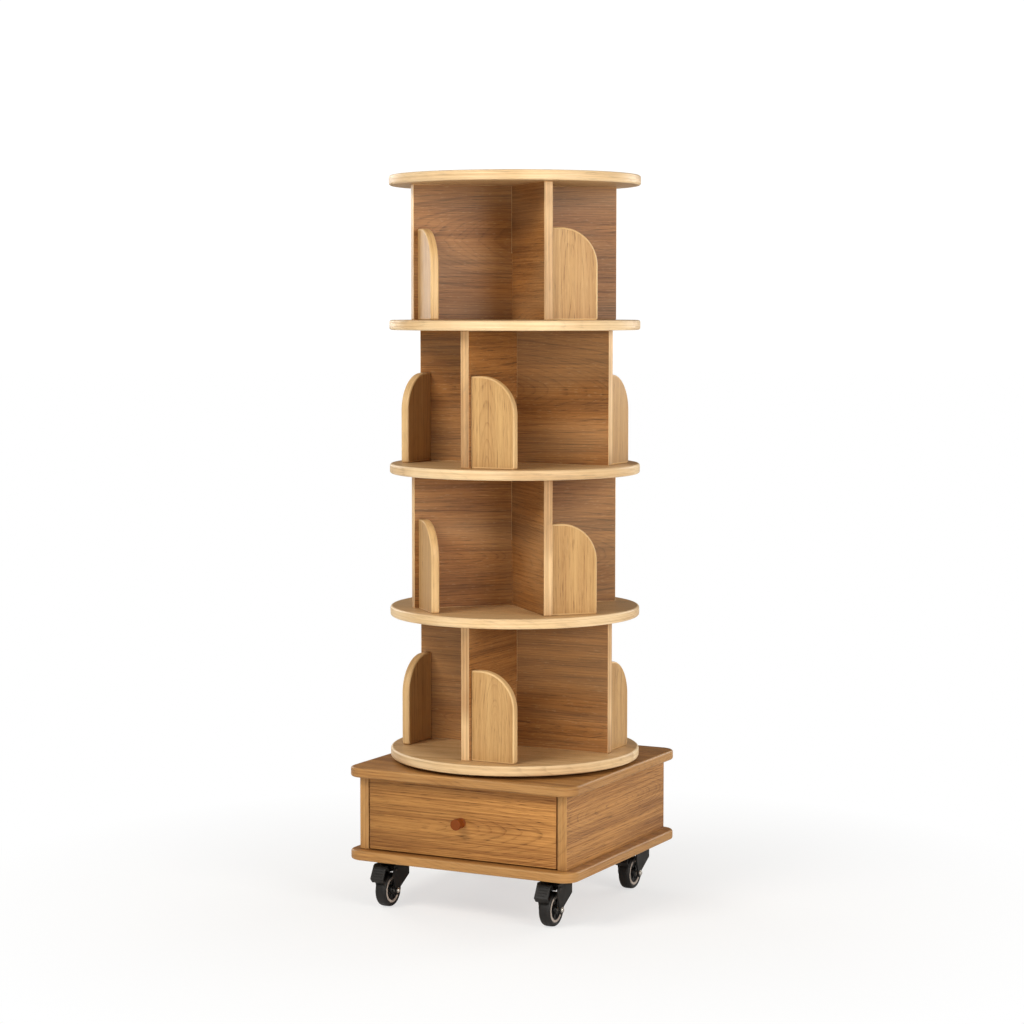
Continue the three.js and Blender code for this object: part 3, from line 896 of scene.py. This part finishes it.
TRAIL = 16 * MM
AXLE_HEIGHT = 31 * MM
AXLE_BOSS = 8.5 * MM
LOWER_RACE_RISE = 4.5 * MM
WHEEL_HALF = 11 * MM
SPOKE_COUNT = 6
SPOKE_THICKNESS = 1.7 * MM
RIB_COUNT = 4
RIB_PITCH = 5 * MM
PEDAL_HINGE = (-22 * MM, 70 * MM)
SHEET = 2.5 * MM


def caster(name):
    plate_low, plate_high = span(f"{name}_plate")
    pivot = Vector(((plate_low.x + plate_high.x) / 2, (plate_low.y + plate_high.y) / 2, 0))
    caster_plate(name, pivot, plate_low, plate_high)
    caster_fork(name, pivot)
    caster_wheel(name)
    brake_pedal(name, pivot)


def caster_plate(name, pivot, low, high):
    half = (high.x - low.x) / 2
    top = high.z
    outline = rectangle((-half, -half), (half, half), 6 * MM, 5)
    matrix = Matrix.Translation(pivot + Z * (top - SHEET))
    plate = board(f"{name}_top_plate", outline, SHEET, matrix, BLACK_COAT, 0.6 * MM)
    bottom = -3 * MM
    race = turned(
        f"{name}_upper_race",
        [(0, bottom), (19 * MM, bottom), (21.5 * MM, bottom + 0.6 * MM), (23 * MM, bottom + 2 * MM),
         (23.4 * MM, 0.3 * MM), (0, 0.3 * MM)],
        matrix, BLACK_COAT, segments=48, sharp=50,
    )
    pin_low = low.z - (top - SHEET)
    pin = turned(
        f"{name}_kingpin",
        [(0, pin_low), (4.5 * MM, pin_low), (6.2 * MM, pin_low + 0.5 * MM), (7 * MM, pin_low + 1.4 * MM),
         (7 * MM, pin_low + 2.8 * MM), (4.5 * MM, pin_low + 2.8 * MM), (4.5 * MM, -2 * MM), (0, -2 * MM)],
        matrix, SCREW_BLACK, segments=32, sharp=45,
    )
    spread = half - 7.5 * MM
    screws = [
        screw(pivot + Vector((x * spread, y * spread, top - SHEET)), Z, 4.2 * MM, SCREW_BLACK)
        for x in (-1, 1) for y in (-1, 1)
    ]
    plate = joined(f"{name}_top_plate", [plate, race])
    finish(plate, "cabinet", "black_steel", f"{name}_plate")
    finish(pin, "cabinet", "black_steel")
    finish(joined(f"{name}_screws", screws), "cabinet", "black_steel")


def caster_fork(name, pivot):
    low, high = span(f"{name}_fork")
    crown = high.z - LOWER_RACE_RISE
    half = (high.x - low.x) / 2
    body = f"{name}_swivel"
    axle = (-TRAIL, AXLE_HEIGHT)
    front, back = low.y - pivot.y, high.y - pivot.y

    side = [(back, crown), (front, crown), (front, 57 * MM)]
    side += [(axle[0] - AXLE_BOSS, axle[1] + 4 * MM)]
    side += arc(axle[0], axle[1], AXLE_BOSS, 170, 385, 20)
    side += [(back, 54 * MM)]
    side = counter_clockwise(side)
    legs = []
    for sign in (-1, 1):
        start = half - SHEET if sign > 0 else -half
        matrix = place(pivot + X * start, Y, Z)
        legs.append(board("leg", side, SHEET, matrix, BLACK_COAT, 0.5 * MM))
    outline = [(-half, crown - 6 * MM)]
    outline += arc(-half + 5 * MM, crown - 5 * MM, 5 * MM, 180, 90, 6)
    outline += arc(half - 5 * MM, crown - 5 * MM, 5 * MM, 90, 0, 6)
    outline += [(half, crown - 6 * MM), (half - SHEET, crown - 6 * MM)]
    outline += arc(half - 5 * MM, crown - 5 * MM, 2.5 * MM, 0, 90, 4)
    outline += arc(-half + 5 * MM, crown - 5 * MM, 2.5 * MM, 90, 180, 4)
    outline += [(-half + SHEET, crown - 6 * MM)]
    outline = outline[::-1]
    matrix = place(pivot + Y * back, X, Z)
    arch = board("arch", outline, back - front, matrix, BLACK_COAT, 0.4 * MM)
    race = turned(
        "race",
        [(5 * MM, -1 * MM), (20.5 * MM, -1 * MM), (21.5 * MM, 1.5 * MM), (20.5 * MM, 3.6 * MM),
         (18.5 * MM, 4.4 * MM), (5 * MM, 4.4 * MM), (5 * MM, -1 * MM)],
        Matrix.Translation(pivot + Z * crown), BLACK_COAT, segments=48, sharp=45,
    )
    fork = joined(f"{name}_fork_steel", [arch] + legs + [race])
    finish(fork, body, "black_steel", f"{name}_fork")

    centre = pivot + Vector((0, axle[0], axle[1]))
    bolt = turned(
        f"{name}_axle_bolt",
        [(0, -half - 2.6 * MM), (3.6 * MM, -half - 2.6 * MM), (4.6 * MM, -half - 2.0 * MM),
         (4.6 * MM, -half), (3.9 * MM, -half), (3.9 * MM, half), (5.2 * MM, half),
         (5.2 * MM, half + 0.8 * MM), (4.2 * MM, half + 0.8 * MM), (4.1 * MM, half + 2.2 * MM),
         (3.2 * MM, half + 3.2 * MM), (1.6 * MM, half + 3.7 * MM), (0, half + 3.8 * MM)],
        place(centre, Y, Z), BOLT_STEEL, segments=32, sharp=40,
    )
    finish(bolt, body, "zinc_steel")
    hinge = pivot + Vector((0, PEDAL_HINGE[0], PEDAL_HINGE[1]))
    pin = turned(
        f"{name}_pedal_pin",
        [(0, -half - 0.9 * MM), (2.4 * MM, -half - 0.9 * MM), (3 * MM, -half), (2 * MM, -half),
         (2 * MM, half), (3 * MM, half), (2.4 * MM, half + 0.9 * MM), (0, half + 0.9 * MM)],
        place(hinge, Y, Z), SCREW_BLACK, segments=24, sharp=40,
    )
    finish(pin, body, "black_steel")


def caster_wheel(name):
    low, high = span(f"{name}_wheel")
    centre = (low + high) / 2
    radius = (high.z - low.z) / 2
    half = WHEEL_HALF
    body = f"{name}_roller"
    matrix = place(centre, Y, Z)
    crown = [(radius - 0.5 * MM * (z / half) ** 2 - 3.2 * MM * abs(z / half) ** 7, z)
             for z in [half * (i / 10 - 1) for i in range(21)]]
    tyre = [(23.6 * MM, -half + 1.2 * MM), (25 * MM, -half + 0.2 * MM)] + crown
    tyre += [(25 * MM, half - 0.2 * MM), (23.6 * MM, half - 1.2 * MM), (23.6 * MM, -half + 1.2 * MM)]
    finish(turned(f"{name}_tyre", tyre, matrix, RUBBER, 96, 35), body, "tyre_black", f"{name}_wheel")

    ring = both_sides([(19, -3.0), (19.4, -1.0), (20.4, -0.5), (22.6, -0.5), (23.5, -1.0), (24, -2.2)])
    finish(turned(f"{name}_ring", ring, matrix, RIM_PLASTIC, 96, 45), body, "tyre_black")

    hub = both_sides([
        (4.2, 1.4), (7.6, 1.4), (8.2, 0.6), (8.6, -3.6), (16.8, -3.6), (17.6, -1.6), (19.2, -1.6),
    ])
    parts = [turned("hub", hub, matrix, HUB_PLASTIC, 64, 35)]
    spoke = rectangle((7.8 * MM, -0.9 * MM), (17.4 * MM, 0.9 * MM))
    web = half - 3.7 * MM
    for index in range(SPOKE_COUNT):
        turn = Matrix.Rotation(2 * math.pi * index / SPOKE_COUNT, 4, "Z")
        for base in (-web - SPOKE_THICKNESS, web):
            local = matrix @ Matrix.Translation(Z * base) @ turn
            parts.append(board("spoke", spoke, SPOKE_THICKNESS, local, HUB_PLASTIC, 0.3 * MM))
    finish(joined(f"{name}_hub", parts), body, "tyre_black")


def both_sides(points):
    """A closed wheel profile that is the same on both sides. points hold a radius and the
    rise above the wheel's side, in millimetres, for one side from the middle outwards."""
    left = [(radius * MM, -(WHEEL_HALF + rise * MM)) for radius, rise in points]
    right = [(radius, -height) for radius, height in reversed(left)]
    return left + right + left[:1]


def brake_pedal(name, pivot):
    low, high = span(f"{name}_brake_pedal")
    hood_half = (high.x - low.x) / 2
    arm_half = hood_half - 1 * MM
    y, z = PEDAL_HINGE
    arm = [(y, z), (-35 * MM, z - 0.5 * MM), (-41 * MM, 79 * MM)]
    hood = [(-34.8 * MM, 70 * MM), (-41 * MM, 79 * MM), (-45 * MM, 79 * MM), (-57 * MM, 57 * MM),
            (-50 * MM, 49.5 * MM)]
    parts = []
    for line, half in ((arm, arm_half), (hood, hood_half)):
        outline = strip(line, SHEET, 0.9 * MM)
        matrix = place(pivot - X * half, Y, Z)
        parts.append(board("pedal", outline, 2 * half, matrix, BLACK_COAT, 0.5 * MM))
    hinge = pivot + Vector((0, y, z))
    parts.append(turned(
        "barrel",
        [(2.2 * MM, -arm_half), (3.9 * MM, -arm_half), (4.4 * MM, 0.5 * MM - arm_half),
         (4.4 * MM, arm_half - 0.5 * MM), (3.9 * MM, arm_half), (2.2 * MM, arm_half),
         (2.2 * MM, -arm_half)],
        place(hinge, Y, Z), BLACK_COAT, segments=32, sharp=40,
    ))
    top, lip = Vector((0, *hood[2])), Vector((0, *hood[3]))
    slope = (lip - top).normalized()
    normal = slope.cross(X)
    middle = pivot + (top + lip) / 2 + normal * (SHEET / 2 - 0.2 * MM)
    rib = rectangle((-10 * MM, -0.9 * MM), (10 * MM, 0.9 * MM), 0.8 * MM, 3)
    for step in range(RIB_COUNT):
        where = middle + slope * (step - (RIB_COUNT - 1) / 2) * RIB_PITCH
        matrix = place(where, X, normal.cross(X))
        parts.append(board("rib", rib, 1.0 * MM, matrix, BLACK_COAT, 0.4 * MM))
    finish(joined(f"{name}_pedal_steel", parts), f"{name}_brake", "black_steel", f"{name}_brake_pedal")


# ---------------------------------------------------------------- studio

def studio():
    """A pale floor that turns into the white of the background away from the rack."""
    bpy.ops.mesh.primitive_circle_add(vertices=96, radius=40, fill_type="NGON")
    floor = bpy.context.object
    floor.name = "studio_floor"
    g = Graph("studio_floor")
    g.finish((0.93, 0.925, 0.915, 1), 0.9, specular=0.1)
    distance = g.node("ShaderNodeVectorMath", {0: g.object_place()}, operation="LENGTH").outputs["Value"]
    seen = g.node("ShaderNodeLightPath", {}).outputs["Is Camera Ray"]
    share = g.math("MULTIPLY", g.spread(distance, 0.2, 1.1, 0.6, 1.0), seen)
    glow = g.node("ShaderNodeEmission", {"Color": (1, 1, 1, 1), "Strength": 1.0})
    fade = g.node("ShaderNodeMixShader", {"Fac": share})
    output = g.tree.nodes["Material Output"]
    g.tree.links.new(g.shader.outputs["BSDF"], fade.inputs[1])
    g.tree.links.new(glow.outputs["Emission"], fade.inputs[2])
    g.tree.links.new(fade.outputs["Shader"], output.inputs["Surface"])
    floor.data.materials.append(g.material)

    world = bpy.data.worlds.new("studio")
    bpy.context.scene.world = world
    world.use_nodes = True
    tree = world.node_tree
    tree.nodes.clear()
    output = tree.nodes.new("ShaderNodeOutputWorld")
    seen = tree.nodes.new("ShaderNodeBackground")
    seen.inputs["Color"].default_value = (1, 1, 1, 1)
    seen.inputs["Strength"].default_value = 1.05
    lights = tree.nodes.new("ShaderNodeBackground")
    lights.inputs["Color"].default_value = (1, 0.985, 0.96, 1)
    lights.inputs["Strength"].default_value = 0.12
    mix = tree.nodes.new("ShaderNodeMixShader")
    path = tree.nodes.new("ShaderNodeLightPath")
    tree.links.new(path.outputs["Is Camera Ray"], mix.inputs["Fac"])
    tree.links.new(lights.outputs["Background"], mix.inputs[1])
    tree.links.new(seen.outputs["Background"], mix.inputs[2])
    tree.links.new(mix.outputs["Shader"], output.inputs["Surface"])

    # name, place, width, height, watts, colour
    softbox("key", (-1.3, -3.4, 3.3), 2.0, 1.7, 120, (1, 0.97, 0.91))
    softbox("fill", (4.0, -1.7, 1.8), 2.2, 2.2, 125, (1, 0.96, 0.9))
    softbox("front", (0.8, -4.4, 0.9), 2.0, 1.6, 42, (1, 0.97, 0.92))
    softbox("behind_left", (-3.8, 1.9, 1.9), 2.4, 2.2, 62, (1, 0.98, 0.95))
    softbox("behind_right", (1.7, 3.9, 1.9), 2.4, 2.2, 72, (1, 0.98, 0.95))


def softbox(name, where, width, height, power, colour):
    data = bpy.data.lights.new(name, "AREA")
    data.shape = "RECTANGLE"
    data.size = width
    data.size_y = height
    data.energy = power
    data.color = colour
    light = bpy.data.objects.new(name, data)
    bpy.context.scene.collection.objects.link(light)
    light.location = where
    aim = Vector((0, 0, 0.7)) - Vector(where)
    light.rotation_euler = aim.to_track_quat("-Z", "Y").to_euler()


def camera():
    data = bpy.data.cameras.new("camera")
    data.lens = CAMERA_LENS
    data.sensor_width = 36
    data.clip_end = 100
    seen = bpy.data.objects.new("camera", data)
    bpy.context.scene.collection.objects.link(seen)
    turn = Matrix.Rotation(CAMERA_TURN, 3, "Z")
    where = turn @ Vector((CAMERA_ASIDE, -CAMERA_AWAY, 0))
    seen.location = (where.x, where.y, CAMERA_HEIGHT)
    seen.rotation_euler = (math.pi / 2 - CAMERA_TILT, 0, CAMERA_TURN)
    bpy.context.scene.camera = seen
    bpy.context.scene.view_settings.view_transform = "Standard"


camera()
studio()
shelves()
dividers()
book_stops()
confirmats()
turntable()
cabinet()
drawer()
for corner in ("front_left", "front_right", "rear_left", "rear_right"):
    caster(f"caster_{corner}")
bearing()
